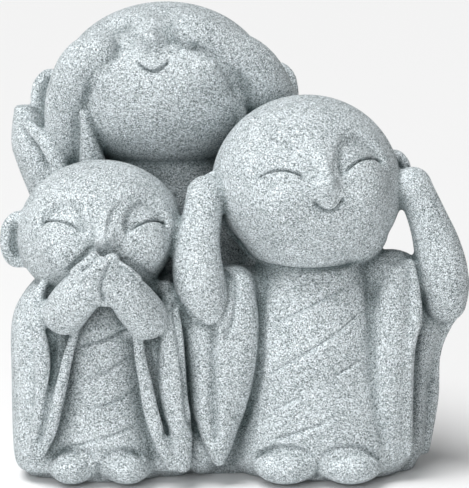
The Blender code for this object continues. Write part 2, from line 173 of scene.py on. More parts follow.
# a form through level ovals: height, centre x, centre y, half width, half depth
def cloth(sections, boxy=1.0, rings=40, sides=56):
    bm = bmesh.new()
    loops = []
    for ring in range(rings + 1):
        z, cx, cy, rx, ry = rowAt(sections, ring / rings)
        loop = []
        for side in range(sides):
            across, deep = math.cos(2 * math.pi * side / sides), math.sin(2 * math.pi * side / sides)
            across = math.copysign(abs(across) ** boxy, across)
            deep = math.copysign(abs(deep) ** boxy, deep)
            loop.append(bm.verts.new((cx + rx * across, cy + ry * deep, z)))
        loops.append(loop)
    for low, high in zip(loops, loops[1:]):
        for side in range(sides):
            after = (side + 1) % sides
            bm.faces.new((low[side], low[after], high[after], high[side]))
    bm.faces.new(loops[0][::-1])
    bm.faces.new(loops[-1])
    addLump(bm)


def bump(x, y, spreadX, spreadY):
    return np.exp(-((x / spreadX) ** 2) - (y / spreadY) ** 2)


def ramp(value, low, high):
    share = np.clip((value - low) / (high - low), 0, 1)
    return share * share * (3 - 2 * share)


# faces: degrees from the front of a head, x to the viewer's right and y up
face = {
    "eyeY": 20.0,
    "eyeHalf": 16.0,
    "eyeSag": 5.6,
    "mouthY": -9.0,
    "mouthHalf": 9.0,
    "mouthSag": 8.0,
    "noseY": 8.0,
    "nose": (6.2, 6.0, 6.5),  # half width, half height and how far it stands out
    "bridge": (5.0, 2.6),  # half width and how far it stands out
    "browY": 22,  # the bridge ends between here and the hairline
    "hairY": 44,
    "jawY": -28,
    "jawHalf": 26,
    "cheekY": -4.0,
    "cheek": (21, 24),  # half width and half height
    "cheekLift": 3.4,
    "socket": (21.5, 23),
    "socketDrop": 3,  # its middle lies this far below the eye
    "lip": (10, 5, 1.4),  # half width, half height and how far it stands out
    "chin": (9, 5, 0.8),
}
heads = {
    "speaker": {
        "centre": (-65, -47, 122),
        "radii": (40, 38, 34.5),
        "turn": (4, 1, 5),
        "eyeX": 33.5,
        "jaw": (1.5, -4),
        "sockets": (4.2, 4.2),
    },
    "hearer": {
        "centre": (33.5, -35, 142.6),
        "radii": (46, 43, 44),
        "turn": (0, -5, 13),
        "eyeX": 28.5,
        "jaw": (-2.5, 1.5),
        "sockets": (2.2, 4.2),
    },
    "seer": {
        "centre": (-36.5, 15, 185),
        "radii": (53, 46, 42),
        "turn": (-24, -4, -3.5),
        "eyeX": 27.5,
        "jaw": (1.5, 1.5),
        "sockets": (1.0, 1.0),
    },
}


def faceRelief(x, y, eyeX, jaw, sockets):
    noseY, mouthY = face["noseY"], face["mouthY"]
    lift = face["nose"][2] * bump(x, y - noseY, *face["nose"][:2])
    bridge = face["bridge"][1] * bump(x, 0, face["bridge"][0], 1.0)
    lift += bridge * ramp(y, noseY - 4, noseY + 4) * (1 - ramp(y, face["browY"], face["hairY"]))
    swell = np.where(x < 0, jaw[0], jaw[1]) * bump(y - face["jawY"], 0, face["jawHalf"], 1.0)
    lift += swell * np.sin(np.radians(x)) ** 2
    for side, socketDepth in zip((-1, 1), sockets):
        across = side * x - eyeX
        lid = y - face["eyeY"] + face["eyeSag"] * (across / face["eyeHalf"]) ** 2
        cheek = np.hypot(across / face["cheek"][0], (y - face["cheekY"]) / face["cheek"][1])
        lift += face["cheekLift"] * (1 - ramp(cheek, 0.1, 1.1)) * (1 - ramp(lid, -1.5, 3.0))
        socketY = y - face["eyeY"] + face["socketDrop"]
        socket = np.hypot(across / face["socket"][0], socketY / face["socket"][1])
        dip = (1 - ramp(socket, 0.78, 1.0)) * (0.45 + 0.55 * np.clip(socket, 0, 1) ** 2)
        lift -= socketDepth * dip * ramp(lid, -3, 1)
    lift += face["lip"][2] * bump(x, y - mouthY - 5, *face["lip"][:2])
    lift += face["chin"][2] * bump(x, y - mouthY + 8, *face["chin"][:2])
    return lift * (np.abs(x) < 90)  # nothing on the back of the head


def head(who):
    shape = heads[who]
    relief = partial(faceRelief, **{name: shape[name] for name in ("eyeX", "jaw", "sockets")})
    ball(shape["centre"], shape["radii"], shape["turn"], relief, 7)


ears = {
    "rimHalf": (6.2, 10.5),  # half width and half height of the rim
    "angles": (125, 90, 50, 10, -30, -70, -110),  # round the rim, from its top to the lobe
    "rim": (2.6, 3.0, 3.0, 2.9, 3.0, 3.4, 3.4),  # radii at those angles
    "bowl": (6.5, 2.8, 11),
}


def ear(who, side, size=1.0, out=0.0, drop=1.0):
    shape = heads[who]
    rotation = turned(shape["turn"])
    centre = Vector(shape["centre"])
    root = Vector((side * (shape["radii"][0] - 1.0 + out), 1.0, -drop))
    rim = []
    halfWidth, halfHeight = ears["rimHalf"]
    for angle in ears["angles"]:
        turn = math.radians(angle)
        around = Vector((side * halfWidth * math.cos(turn), -0.5, halfHeight * math.sin(turn)))
        rim.append(rotation @ (root + around * size) + centre)
    limb(rim, [radius * size for radius in ears["rim"]])
    bowl = [radius * size for radius in ears["bowl"]]
    ball(rotation @ (root + Vector((0, size, 0))) + centre, bowl, shape["turn"])


feet = {
    "speaker": ((-79.4, 12.4), (-53, 12.8)),  # middle and half width of each
    "hearer": ((23.8, 16.2), (55, 16.2)),
    "y": -58,
    "top": 20.5,
    "halfLength": 19,
    "halfHeight": 10,
}


def standOnFeet(who):
    for x, halfWidth in feet[who]:
        centre = (x, feet["y"], feet["top"] - feet["halfHeight"])
        ball(centre, (halfWidth, feet["halfLength"], feet["halfHeight"]))


# left and right in the notes are as seen from the front
# the small monk at the front left, hands over the mouth
def speaker():
    head("speaker")
    ear("speaker", -1, 1.05, 0.5, 4)
    cloth(  # gown
        [
            (-3, -66, -38, 26, 12),
            (4, -66, -40, 33, 24),
            (14, -66, -43, 35, 29.5),
            (45, -66, -42, 31, 28.5),
            (75, -66, -42, 28, 25),
            (98, -66, -42, 20, 18),
        ],
    )
    ball((-66, -41, 90), (31, 22, 14))  # shoulders
    cloth(  # left sleeve, seen from the front
        [
            (-3, -91, -36, 9, 6),
            (3, -91, -38, 13.5, 15),
            (12, -92, -41, 17, 24),
            (50, -92, -43, 17.5, 25.5),
            (78, -91, -44, 18, 23.5),
            (92, -89, -45, 14, 19),
            (103, -86, -46, 7, 11),
        ],
        0.8,
    )
    limb(  # its outer edge
        [
            (-90, -66, 103),
            (-94, -69, 95),
            (-95, -71, 84),
            (-93, -72, 70),
            (-92, -71, 52),
            (-94, -70, 34),
            (-97, -67, 20),
        ],
        (2.0, 2.8, 3.4, 4.0, 4.4, 4.2, 3.2),
    )
    limb(  # its inner edge
        [(-76, -69, 80), (-80, -72, 67), (-83, -74, 54), (-86, -74, 41), (-89, -73, 29), (-94, -70, 18)],
        (2.0, 2.6, 2.9, 3.0, 2.8, 2.4),
    )
    cloth(  # right sleeve
        [
            (-3, -34, -34, 9, 6),
            (4, -34, -38, 12, 15),
            (12, -33, -42, 14, 22),
            (50, -36, -44, 14, 25),
            (82, -38, -43, 14, 23),
            (100, -41, -43, 9, 13),
        ],
        0.8,
    )
    limb(  # its inner edge
        [(-47, -71, 82), (-46, -74, 68), (-43, -75, 52), (-40, -75, 37), (-36, -73, 24), (-31, -70, 12)],
        (2.0, 2.8, 3.4, 3.8, 3.6, 2.8),
    )
    limb(  # its outer edge
        [
            (-34, -60, 97),
            (-32, -66, 88),
            (-31, -69, 76),
            (-31, -69, 62),
            (-30, -69, 46),
            (-27, -69, 29),
            (-26, -68, 12),
        ],
        (4.0, 4.4, 5.6, 7.0, 7.0, 6.0, 4.2),
    )
    limb(  # left arm
        [(-81.5, -73, 87.5), (-76, -80, 95.5), (-69, -86, 103), (-61, -90, 110), (-58, -92, 116)],
        (10.8, 11, 9.8, 7.4, 3.8),
    )
    limb(  # inside the left sleeve
        [(-85, -59, 98), (-84, -61, 82), (-85, -64, 66), (-87, -66, 52), (-89, -66, 38), (-92, -63, 26)],
        (7, 5, 5.4, 5, 4.6, 4),
    )
    limb([(-41, -57, 96), (-45, -61, 88), (-49, -63, 78)], (6, 6.5, 6))  # inside the right sleeve
    limb([(-76, -89, 110), (-70, -92, 115), (-66, -92, 119)], (2.2, 2.4, 2.0))  # left thumb
    limb([(-70, -92, 108), (-63.5, -94, 114), (-58, -94.5, 114)], (4.5, 4.4, 3.0))  # left fingers
    limb(  # right arm
        [(-42.5, -73, 85), (-47, -80, 92), (-52, -86, 100), (-58, -91, 107), (-60, -94, 111)],
        (10.5, 11, 9.6, 6.6, 3.6),
    )
    ball((-60, -84, 101), (17, 8.5, 8.5))  # wrists
    limb([(-46, -91, 107), (-50, -94, 111), (-54, -94, 114)], (2.2, 2.4, 2.0))  # right thumb
    standOnFeet("speaker")


# the monk at the front right, a hand on each ear
def hearer():
    head("hearer")
    ear("hearer", -1)
    ear("hearer", 1)
    cloth(  # gown
        [
            (-3, 41, -33, 34, 13),
            (4, 41, -36, 42, 27),
            (14, 41, -38, 44, 34.5),
            (45, 40, -37, 41, 34.5),
            (78, 38, -36, 36, 32),
            (106, 37, -35, 26, 22),
        ],
    )
    ball((52, -37, 122), (22, 24, 19))  # jaw
    ball((2, -38, 90), (18, 17, 14))  # shoulders
    ball((75, -34, 95), (18, 16, 16))
    cloth(  # left side
        [
            (-3, -8, -25, 13, 6),
            (6, -8, -30, 17, 13),
            (16, -7, -34, 18, 18.5),
            (45, -6, -38, 19, 22),
            (82, -6, -42, 19, 22),
            (98, -4, -42, 13, 14),
        ],
        0.8,
    )
    cloth(  # left sleeve
        [
            (11, -8.5, -62, 2.5, 6),
            (20.5, -9, -59, 7.5, 11),
            (35, -9.3, -56, 12.3, 15),
            (54, -8.6, -54, 15.4, 17.5),
            (73, -8.8, -53, 18, 18.5),
            (90, -9.5, -51, 19.7, 18),
            (101, -7, -49, 15, 13),
            (106, -6, -48, 8, 7),
        ],
        0.85,
    )
    # its fold
    limb([(0, -56, 96), (1.5, -59, 80), (0, -61, 60), (-3, -60, 40), (-7, -59, 23)], (8.5, 10, 10, 8.6, 5.5))
    limb(  # left arm
        [
            (-13, -64, 86),
            (-16, -65, 95),
            (-18.4, -65, 106),
            (-18.4, -61, 120),
            (-16.2, -57, 132),
            (-15, -53, 141),
        ],
        (9.5, 12.4, 12.7, 10.6, 9.4, 9.2),
    )
    cloth(  # right side, front
        [
            (-3, 70, -34, 8, 4),
            (5, 71, -39, 11, 11),
            (14, 73, -45, 13, 15.5),
            (45, 73, -48, 13, 18),
            (80, 75, -45, 12, 18),
            (106, 78, -40, 7, 10),
        ],
    )
    cloth(  # right side, back
        [
            (-3, 77, -26, 9, 9),
            (6, 79, -27, 12, 13),
            (16, 80, -28, 13, 16),
            (45, 82, -24, 13, 14),
            (80, 87, -24, 16, 13),
            (100, 85, -26, 11, 9),
        ],
    )
    limb(  # front edge of the right sleeve
        [(84, -44, 106), (86, -52, 92), (86, -57, 78), (83, -59, 67), (82, -59, 42), (83, -55, 15)],
        (2.4, 3.0, 3.4, 3.0, 3.0, 2.8),
    )
    limb(  # its back edge
        [(112, -29, 95), (110, -28, 84), (103, -25, 72), (98, -23, 58), (97, -22, 35), (93, -24, 9)],
        (2.6, 3.4, 3.6, 3.6, 3.8, 3.6),
    )
    limb(  # right arm
        [(102, -37, 86), (101, -37, 95), (98, -38, 111), (91.6, -39, 129.5), (85.2, -39, 143)],
        (10.5, 13.2, 12.3, 9.0, 9.4),
    )
    standOnFeet("hearer")


# the tall monk behind, looking up, hands over the eyes
def seer():
    head("seer")
    ear("seer", -1, 1.15, 5, 2)
    ear("seer", 1, 1.15, 5, 6)
    cloth(  # gown
        [
            (-6, -38, 20, 54, 36),
            (12, -38, 20, 54, 38),
            (60, -38, 20, 52, 37),
            (115, -38, 19, 47, 34),
            (155, -38, 17, 27, 24),
        ],
    )
    cloth(  # left sleeve
        [
            (-6, -80, 18, 14, 18),
            (15, -82, 20, 16, 22),
            (70, -78, 18, 17, 26),
            (105, -78, 16, 17, 25),
            (130, -87, 14, 17, 23),
            (146, -94, 13, 16, 21),
            (158, -98, 12, 15, 18),
            (176, -107, 10, 4, 6),
        ]
    )
    limb(  # its edge
        [(-108, 9, 172), (-102, -2, 166.5), (-94, -7, 159), (-88, -9, 148), (-86, -8, 137), (-85, -6, 122)],
        (2.4, 3.4, 4.2, 4.8, 5.0, 4.4),
    )
    ball((-91, 0, 145), (9, 9, 20))  # inside it
    # left lapel
    cloth([(140, -71, -8, 9, 9), (150, -71, -10, 7, 7.5), (164, -73, -14, 4, 4.5), (177, -75, -18, 1.2, 1.5)])
    cloth(  # right sleeve
        [
            (-6, 4, 20, 14, 18),
            (15, 8, 22, 16, 22),
            (70, 12, 20, 16, 26),
            (130, 16, 16, 15, 24),
            (156, 20, 14, 13, 18),
            (170, 26, 12, 4, 6),
        ],
    )
    # right lapel
    cloth([(150, 3, -4, 8, 8), (166, 3, -9, 5.5, 6), (176, 2, -13, 3.4, 4), (185, 1, -16, 1.2, 1.5)])
    limb(  # left arm
        [
            (-86, 4, 148),
            (-84, -1, 161),
            (-83.5, -5, 175.5),
            (-80, -9, 188),
            (-73, -15, 201.5),
            (-66, -19, 206.5),
        ],
        (11, 11, 11.6, 12.6, 12, 8.6),
    )
    limb(  # right arm
        [(18, 4, 174), (13, -2, 186.5), (6, -7, 198), (-6, -13, 207), (-16, -17, 213.5), (-22.5, -19, 216.5)],
        (14, 14.4, 13.2, 11, 10.2, 8.8),
    )
    ball((13, -3, 167), (8, 8, 10))  # right shoulder


# the clay that joins the three low down
def base():
    cloth(
        [(-3, -14, -12, 58, 24), (5, -14, -16, 60, 30), (14, -14, -16, 54, 33), (30, -14, -14, 30, 30)],
        rings=12,
    )
    ball((-17, -38, 23), (13, 25, 23))  # between the sleeves
    cloth(
        [
            (-3, -84, -14, 22, 12),
            (6, -84, -14, 25, 14),
            (50, -84, -15, 23, 14),
            (72, -81, -17, 18, 12),
            (88, -78, -18, 11, 8),
        ],
        0.8,
    )


# presses the lumps into one skin and thins it, in millimetres
def pressClay():
    bm = bmesh.new()
    for mesh in lumps:
        bm.from_mesh(mesh)
        bpy.data.meshes.remove(mesh)
    mesh = bpy.data.meshes.new("pressed")
    bm.to_mesh(mesh)
    bm.free()
    pressed = bpy.data.objects.new("pressed", mesh)
    bpy.context.scene.collection.objects.link(pressed)
    press = pressed.modifiers.new("press", "REMESH")
    press.mode = "VOXEL"
    press.voxel_size = clay["grain"]
    soften = pressed.modifiers.new("soften", "SMOOTH")
    soften.iterations = clay["softening"]
    bpy.context.view_layer.update()
    softened = pressed.evaluated_get(bpy.context.evaluated_depsgraph_get()).data
    triangles = sum(len(polygon.vertices) - 2 for polygon in softened.polygons)
    thin = pressed.modifiers.new("thin", "DECIMATE")
    thin.ratio = min(1.0, clay["triangles"] / triangles)
    bpy.context.view_layer.update()
    thinned = pressed.evaluated_get(bpy.context.evaluated_depsgraph_get())
    skin = bpy.data.meshes.new_from_object(thinned)
    bpy.data.objects.remove(pressed)
    print("clay pressed:", triangles, "triangles, thinned to", len(skin.polygons), "faces")
    return skin


# where the degrees of a face lie in the front view
def onHead(who, x, y):
    shape = heads[who]
    turnX, turnY = math.radians(x), math.radians(y)
    level = math.cos(turnY)
    direction = Vector((math.sin(turnX) * level, -math.cos(turnX) * level, math.sin(turnY)))
    point = turned(shape["turn"]) @ (direction * Vector(shape["radii"])) + Vector(shape["centre"])
    return point.x, point.z


def arc(who, middleX, middleY, half, sag):
    shares = (-1, -0.6, -0.2, 0.2, 0.6, 1)
    return [onHead(who, middleX + share * half, middleY - sag * share**2) for share in shares]


# each cut: course in the front view (x, z), depth, half width, how dark the painted shade in its groove is,
# how far the side below it stands proud and how wide that step is
def cuts():
    found = []

    def add(depth, half, paintedDark, courses, proud=0.0, reach=3.0, side=-1):
        for course in courses:
            cut = {"course": course, "depth": depth, "half": half, "paintedDark": paintedDark}
            found.append({**cut, "proud": proud, "reach": reach, "side": side})

    for who in ("speaker", "hearer"):
        for side in (-1, 1):
            eye = arc(who, side * heads[who]["eyeX"], face["eyeY"], face["eyeHalf"], face["eyeSag"])
            add(2.6, 0.85, 2.0, [eye], 1.2, 4.0)
    smile = arc("hearer", 0.5, face["mouthY"] + 1, face["mouthHalf"] + 1.2, -face["mouthSag"] - 1)
    add(3.0, 0.95, 2.0, [smile], 0.6)
    smile = arc("seer", 0, face["mouthY"], face["mouthHalf"], -face["mouthSag"])
    add(2.8, 0.85, 1.8, [smile], 0.5)
    laps = [
        ((-75, 70), (-65.5, 72.5), (-55, 77), (-49, 81)),
        ((-76.5, 53), (-70, 55.5), (-62.5, 58), (-50, 66)),
        ((-82.5, 35.5), (-69.5, 40), (-59.5, 43), (-48, 49.5)),
        ((-87, 19.5), (-72.5, 23.5), (-58.5, 27.5), (-48, 32)),
        ((19, 80.5), (30, 86), (42, 92), (54.5, 97)),
        ((15, 55), (30, 65), (47, 75.5), (61.5, 86)),
        ((12.5, 35.5), (30.5, 46), (47, 55.5), (61, 63.5)),
        ((17, 24), (30.5, 29), (44.5, 34.5), (61.5, 44)),
    ]
    add(1.5, 0.85, 0.85, laps, 1.1, 7.0)  # where the gowns wrap over
    hems = [
        ((-90, 13), (-86.5, 17.5), (-81, 20), (-75, 20), (-70, 19), (-67, 15)),
        ((-64.5, 15), (-60, 19.5), (-53.5, 20.5), (-48.5, 19), (-44, 14)),
        ((7.5, 12), (13, 18), (22, 21.5), (31, 20.5), (38, 15.5)),
        ((40, 16), (45, 20.5), (54.5, 22), (63, 19.5), (70.5, 12)),
    ]
    add(2.0, 1.1, 0.55, hems)
    toes = [((-66.2, 15), (-66.2, 9), (-66.2, 2)), ((39.2, 16), (39.2, 9), (39.2, 2))]
    add(2.0, 1.4, 0.8, toes)
    cuff = (
        (-27.5, 92.5),
        (-23.5, 88.5),
        (-19.5, 84),
        (-12.5, 79.5),
        (-7, 83.5),
        (-3.5, 91.5),
        (-3.5, 98),
        (-6, 105),
    )
    add(2.0, 1.3, 0.5, [cuff], 0.6)  # hearer's left cuff, then the sleeve under it
    add(2.6, 1.5, 0.8, [((-5, 106), (-1, 102), (0.5, 96), (0, 88), (-2, 80), (-6.5, 72.5))])
    add(4.0, 2.4, 1.1, [((-10.5, 82), (-11, 66), (-11, 51), (-10.5, 34.5), (-9.5, 20))])
    add(1.0, 2.2, 0.35, [((13, 96), (13, 80), (11.5, 60), (7.5, 40), (1, 22))])
    add(2.5, 2.0, 0.5, [((-29.5, 95), (-28, 83), (-25, 62), (-22.5, 35.5), (-17, 18.5))])
    add(1.2, 2.4, 0.25, [((63.5, 98), (64.5, 79.5), (65.5, 61), (69, 34.5), (74, 16))])  # hearer's right
    add(2.4, 3.0, 0.9, [((88, 76), (88, 60), (88.5, 40), (88.5, 16))])
    add(2.2, 1.5, 0.6, [((-86, 76), (-88, 53), (-91.5, 35), (-95.5, 18))])  # speaker's sleeves
    add(1.8, 1.6, 0.5, [((-43, 76.5), (-40, 58), (-37.5, 43), (-33, 24))])
    fingers = [
        ((-58, 117), (-60, 112), (-62.5, 107.5), (-63, 102), (-61.5, 96)),
        ((-54.5, 114.5), (-51, 112), (-47, 108.5), (-43, 103)),
        ((-74, 110.5), (-69, 114.5), (-65, 118)),
    ]
    add(2.2, 1.0, 1.1, fingers, 0.5)
    brows = [
        ((-79, 141), (-73.5, 141.2), (-68.8, 135.5), (-66.9, 127.4), (-67.9, 119.8)),
        (
            (-58.5, 118.9),
            (-60.4, 125.5),
            (-59.4, 133.2),
            (-56.1, 138.9),
            (-50, 142.2),
            (-40.7, 142),
            (-33.6, 136),
        ),
        ((12, 167.7), (22.8, 168.2), (31.3, 165.3), (35.5, 158.6), (38.3, 151.4)),
        ((45.9, 152.4), (46.4, 161.9), (49.2, 169.1), (54.4, 172.9), (60, 171)),
    ]
    add(1.1, 1.5, 0.8, brows[:2])
    add(0.8, 1.5, 0.5, brows[2:])
    wrists = [
        ((-80, 109), (-76, 113), (-72, 117), (-67, 122)),
        ((-53, 116.5), (-48, 112), (-43, 108), (-39.5, 102)),
    ]
    add(1.3, 1.3, 0.5, wrists)
    # along the seer's arms, over the cuff, and under the hearer's chin
    add(1.4, 1.6, 0.4, [((-56, 211), (-58.5, 204), (-63, 197.5), (-68, 191.5), (-73, 185), (-75, 177))])
    add(1.0, 1.6, 0.2, [((-34, 213), (-27, 210.5), (-18, 208))])
    add(1.6, 2.0, 0.45, [((-25, 210.5), (-14.5, 207.5), (-8, 201.5), (-3, 193), (1.5, 183))])
    add(2.4, 1.5, 0.9, [((-108, 167), (-100.5, 160), (-95, 152), (-92, 144))])
    add(1.4, 1.0, 1.1, [((-2, 113), (6.3, 109), (20.6, 106.6), (39.5, 105.6), (56, 107), (67, 112))])
    gathers = [  # folds of the gowns behind
        ((-70, 132), (-73, 92), (-74, 50), (-76, 14)),
        ((-47, 128), (-48, 88), (-46, 46), (-48, 12)),
        ((-22, 132), (-21, 94), (-19, 52), (-17, 14)),
        ((36, 92), (38, 66), (37, 40), (39, 12)),
        ((59, 90), (60, 62), (58, 36), (60, 12)),
    ]
    shallow = [
        ((-59, 90), (-60, 60), (-62, 30), (-61, 10)),
        ((-34, 84), (-34, 56), (-32, 28), (-33, 10)),
    ]
    add(1.8, 3.4, 0.2, gathers, side=1)
    add(1.0, 2.6, 0.15, shallow, side=1)
    return found


# small dents and one rise: place in the front view, radius, depth, painted shade
dents = (
    ((-59, 217), 6.0, 2.6, 0.9),  # round the seer's fingertips
    ((-54, 218), 4.5, 1.6, 0.5),
    ((-37, 224), 5.0, 2.4, 0.8),
    ((-43, 208), 4.0, 1.8, 0.8),
    ((-44, 214), 4.5, -2.6, 0.0),
    ((-1, 114), 8.0, 2.0, 1.2),  # between the hearer's left arm and chin, darkened with painted shade
)


# how far each point lies in a hollow, for the painted shade of the recesses
def hollows(mesh):
    points = np.array([vert.co for vert in mesh.vertices])
    normals = np.array([vert.normal for vert in mesh.vertices])
    edges = np.array([edge.vertices[:] for edge in mesh.edges])
    total = len(points)
    ends = np.concatenate([edges[:, 0], edges[:, 1]])
    others = np.concatenate([edges[:, 1], edges[:, 0]])
    count = np.bincount(ends, minlength=total)
    smooth = points.copy()
    depth = np.zeros(total)
    for step in range(recesses["rounds"]):
        sums = [np.bincount(ends, weights=smooth[others, axis], minlength=total) for axis in range(3)]
        smooth = np.stack([axisSum / count for axisSum in sums], axis=1)
        if step in recesses["looks"]:
            depth += np.einsum("ij,ij->i", smooth - points, normals)
    return np.clip(depth / recesses["full"], -1.0, 1.0)


# how much of the sky over each point the clay itself hides, for painted shade where little light reaches
def sheltered(mesh, tree):
    reach, rays = recesses["reach"], recesses["rays"]
    directions = []
    for ray in range(rays):
        height, turn = 1 - (2 * ray + 1) / rays, ray * math.pi * (3 - math.sqrt(5))
        level = math.sqrt(1 - height**2)
        directions.append(Vector((level * math.cos(turn), level * math.sin(turn), height)))
    shares = []
    for vert in mesh.vertices:
        normal = vert.normal
        start = vert.co + normal * recesses["lift"]
        hidden = total = 0.0
        for direction in directions:
            facing = direction.dot(normal)
            if facing > recesses["grazing"]:
                total += facing
                distance = tree.ray_cast(start, direction, reach)[3]
                if distance is not None:
                    hidden += facing * (1 - distance / reach)
        shares.append(hidden / max(total, 0.001))
    shares = np.array(shares)
    edges = np.array([edge.vertices[:] for edge in mesh.edges])
    ends, others = edges.ravel(), edges[:, ::-1].ravel()
    count = np.bincount(ends, minlength=len(shares))
    for _ in range(recesses["spreading"]):
        shares = np.bincount(ends, weights=shares[others], minlength=len(shares)) / count
    return shares


# the places on the skin under a course, evenly spaced
def layOnSkin(tree, cut):
    course = cut["course"]
    length = sum(math.dist(a, b) for a, b in zip(course, course[1:]))
    steps = max(8, round(length / carving["step"]))
    points = []
    for step in range(steps + 1):
        x, z = rowAt(course, step / steps)
        start = Vector((x, clay["far"] * cut["side"], z))
        points.append(tree.ray_cast(start, Vector((0, -cut["side"], 0)))[0])
    for _ in range(carving["easing"]):
        between = [(a + b * 2 + c) / 4 for a, b, c in zip(points, points[1:], points[2:])]
        points = [points[0], *between, points[-1]]
    return np.array(points)


# splits the long edges near the courses
def refine(bm, found, lines):
    near = KDTree(sum(len(line) for line in lines))
    halves = []
    for cut, line in zip(found, lines):
        for point in line:
            near.insert(point, len(halves))
            halves.append(cut["half"])
    near.balance()
    for _ in range(carving["splits"]):
        longest = {}
        for vert in bm.verts:
            _, index, distance = near.find(vert.co)
            half = halves[index]
            close = distance < carving["fine"] * half
            longest[vert] = max(carving["edge"], carving["edgeShare"] * half) if close else math.inf
        tooLong = []
        for edge in bm.edges:
            if edge.calc_length() > min(longest[vert] for vert in edge.verts):
                tooLong.append(edge)
        bmesh.ops.subdivide_edges(bm, edges=tooLong, cuts=1)
        bmesh.ops.triangulate(bm, faces=[f for f in bm.faces if len(f.verts) > 3])


# evens out the few points whose faces have folded over
def settle(bm):
    for _ in range(carving["settling"]):
        bm.normal_update()
        folded = []
        for vert in bm.verts:
            if any(face.normal.dot(vert.normal) < carving["folded"] for face in vert.link_faces):
                folded.append(vert)
        bmesh.ops.smooth_vert(bm, verts=folded, factor=0.5, use_axis_x=True, use_axis_y=True, use_axis_z=True)
    print("points evened out:", len(folded))


# makes the skin fine near every cut, then moves its points in or out and paints shade into the cuts
def carve(skin, found):
    bm = bmesh.new()
    bm.from_mesh(skin)
    tree = BVHTree.FromBMesh(bm)
    hollow = bm.verts.layers.float.new("hollow")
    # painted shade: darker where the skin is hollow and where the clay hides the sky
    for vert, depth, share in zip(bm.verts, hollows(skin), sheltered(skin, tree)):
        occlusionShade = stone["occlusionShade"] * max(share - recesses["open"], 0)
        vert[hollow] = recesses["hollowShare"] * depth + occlusionShade
    lines = [layOnSkin(tree, cut) for cut in found]
    refine(bm, found, lines)
    settle(bm)
    bm.normal_update()
    spots = np.array([vert.co for vert in bm.verts])
    normals = np.array([vert.normal for vert in bm.verts])
    moved = np.zeros(len(spots))
    shade = np.zeros(len(spots))
    for cut, line in zip(found, lines):
        tangents = np.gradient(line, axis=0)
        tangents /= np.linalg.norm(tangents, axis=1)[:, None]
        lowest, highest = line.min(axis=0) - carving["clear"], line.max(axis=0) + carving["clear"]
        inside = ((spots > lowest) & (spots < highest)).all(axis=1)
        chosen = np.where(inside & (normals[:, 1] * cut["side"] > carving["behind"]))[0]
        away = spots[chosen][:, None, :] - line[None, :, :]
        distances = np.linalg.norm(away, axis=2)
        nearest = distances.argmin(axis=1)
        rows = np.arange(len(chosen))
        below = np.cross(tangents[nearest], np.array([0, cut["side"], 0]))
        sign = np.where(np.einsum("ij,ij->i", away[rows, nearest], below) >= 0, 1.0, -1.0)
        side = sign * distances[rows, nearest]
        along = nearest / (len(line) - 1)
        fade = ramp(along, 0, carving["fade"]) * (1 - ramp(along, 1 - carving["fade"], 1))
        half = np.where(side > 0, carving["below"], carving["above"]) * cut["half"]
        groove = np.exp(-((side / half) ** 2)) * fade
        lip = np.where(side > 0, np.exp(-((side / cut["reach"]) ** 2)), 0) * fade
        moved[chosen] += cut["proud"] * lip - cut["depth"] * groove
        # painted shade, darkest at the bottom of the groove
        shade[chosen] += cut["paintedDark"] * groove
    # each dent also paints shade into its spot
    for (x, z), radius, depth, dentShade in dents:
        middle = np.array(tree.ray_cast(Vector((x, -clay["far"], z)), Vector((0, 1, 0)))[0])
        dent = np.exp(-((np.linalg.norm(spots - middle, axis=1) / radius) ** 2))
        moved -= depth * dent
        shade += dentShade * dent
    # the cuts and dents move each point and add painted shade to it
    for vert, distance, paintedDark in zip(bm.verts, moved, shade):
        vert.co += vert.normal * float(distance)
        vert[hollow] += float(paintedDark)
    settle(bm)
    print("cuts carved:", len(bm.faces), "faces")
    return bm


# cuts the clay off flat at the ground
def standOnGround(bm):
    everything = bm.verts[:] + bm.edges[:] + bm.faces[:]
    bmesh.ops.bisect_plane(bm, geom=everything, plane_co=(0, 0, 0), plane_no=(0, 0, -1), clear_outer=True)
    rim = [edge for edge in bm.edges if edge.is_boundary]
    filled = bmesh.ops.holes_fill(bm, edges=rim, sides=0)["faces"]
    bmesh.ops.triangulate(bm, faces=filled)
    bmesh.ops.recalc_face_normals(bm, faces=bm.faces)


speaker()
hearer()
seer()
base()
skin = pressClay()
bm = carve(skin, cuts())
standOnGround(bm)
mesh = bpy.data.meshes.new("monks")
bm.to_mesh(mesh)
bm.free()

# the sculpture's box is laid exactly into the frame's box
spots = np.array([vert.co for vert in mesh.vertices])
low, high = spots.min(axis=0), spots.max(axis=0)
boxLow, boxHigh = np.array(statueBox[0]), np.array(statueBox[1])
spread = (boxHigh - boxLow) / (high - low)
print("sculpture is", (high - low).round(2), "mm, laid into the frame by", (spread * 1000).round(4))
fitted = (spots - low) * spread + boxLow
mesh.vertices.foreach_set("co", fitted.astype(np.float32).ravel())
mesh.shade_smooth()
mesh.update()
monks = bpy.data.objects.new("monks", mesh)
bpy.context.scene.collection.objects.link(monks)
offset = boxLow - low * spread  # where the drawing's zero lies in the frame
print("statue made:", len(mesh.polygons), "faces")


class Wire:  # a shader socket that sums work on
    def __init__(self, tree, socket):
        self.tree = tree
        self.socket = socket

    def maths(self, operation, *values, **settings):
        settings = {"operation": operation, **settings}
        return addNode(self.tree, "ShaderNodeMath", settings, dict(enumerate(values)))

    def __add__(self, other):
        return self.maths("ADD", self, other)

    def __radd__(self, other):
        return self.maths("ADD", other, self)

    def __sub__(self, other):
        return self.maths("SUBTRACT", self, other)

    def __rsub__(self, other):
        return self.maths("SUBTRACT", other, self)

    def __mul__(self, other):
        return self.maths("MULTIPLY", self, other)

    def __rmul__(self, other):
        return self.maths("MULTIPLY", other, self)

    def clamped(self):
        return self.maths("ADD", self, 0.0, use_clamp=True)


